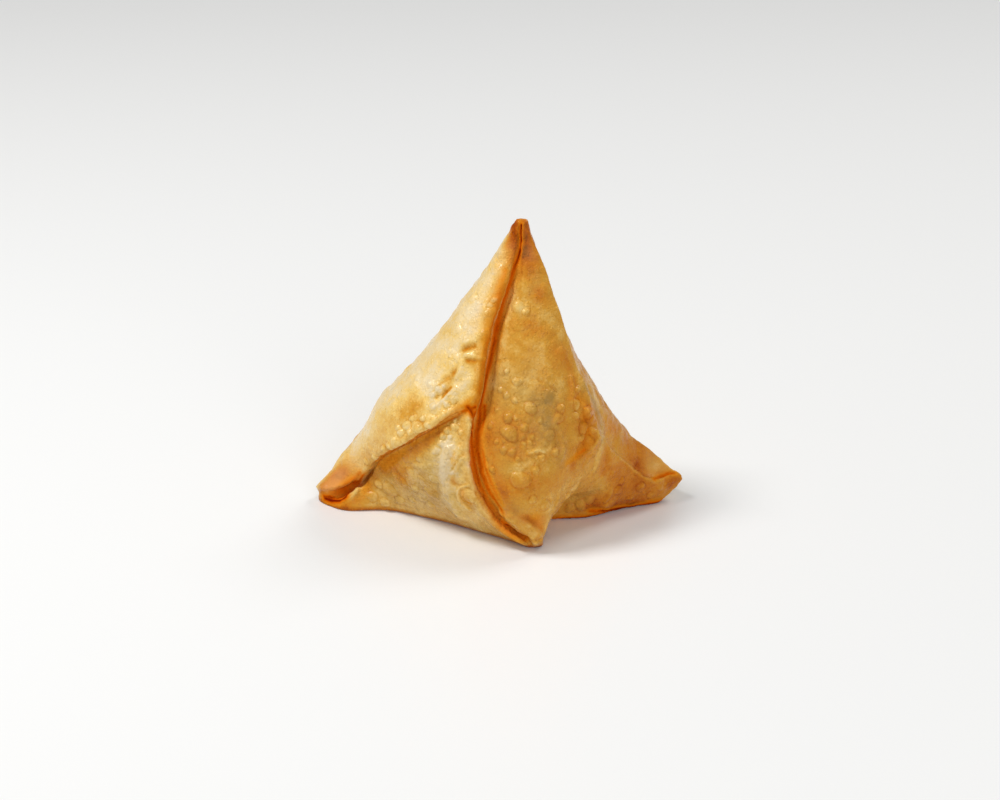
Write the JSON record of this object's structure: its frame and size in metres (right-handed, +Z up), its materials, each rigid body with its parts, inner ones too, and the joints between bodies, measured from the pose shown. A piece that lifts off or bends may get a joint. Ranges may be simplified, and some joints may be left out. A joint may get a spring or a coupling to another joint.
{
  "type": "samosa",
  "caption": "Whole samosa: a three-footed pyramid of blistered golden pastry, with a flap folded over one side and standing on its flat base.",
  "frame": {"origin": "on the surface that the samosa stands on, under the middle of its box", "axes": "+X from the left foot to the right foot, -Y towards the front foot, +Z up to the peak"},
  "size_m": [0.1004, 0.0582, 0.0802],
  "materials": {
    "crust": "pale golden pastry, browned at the folds, edges and feet, blistered and lightly oiled"
  },
  "bodies": {
    "root": {"samosa": "crust"}
  },
  "joints": []
}
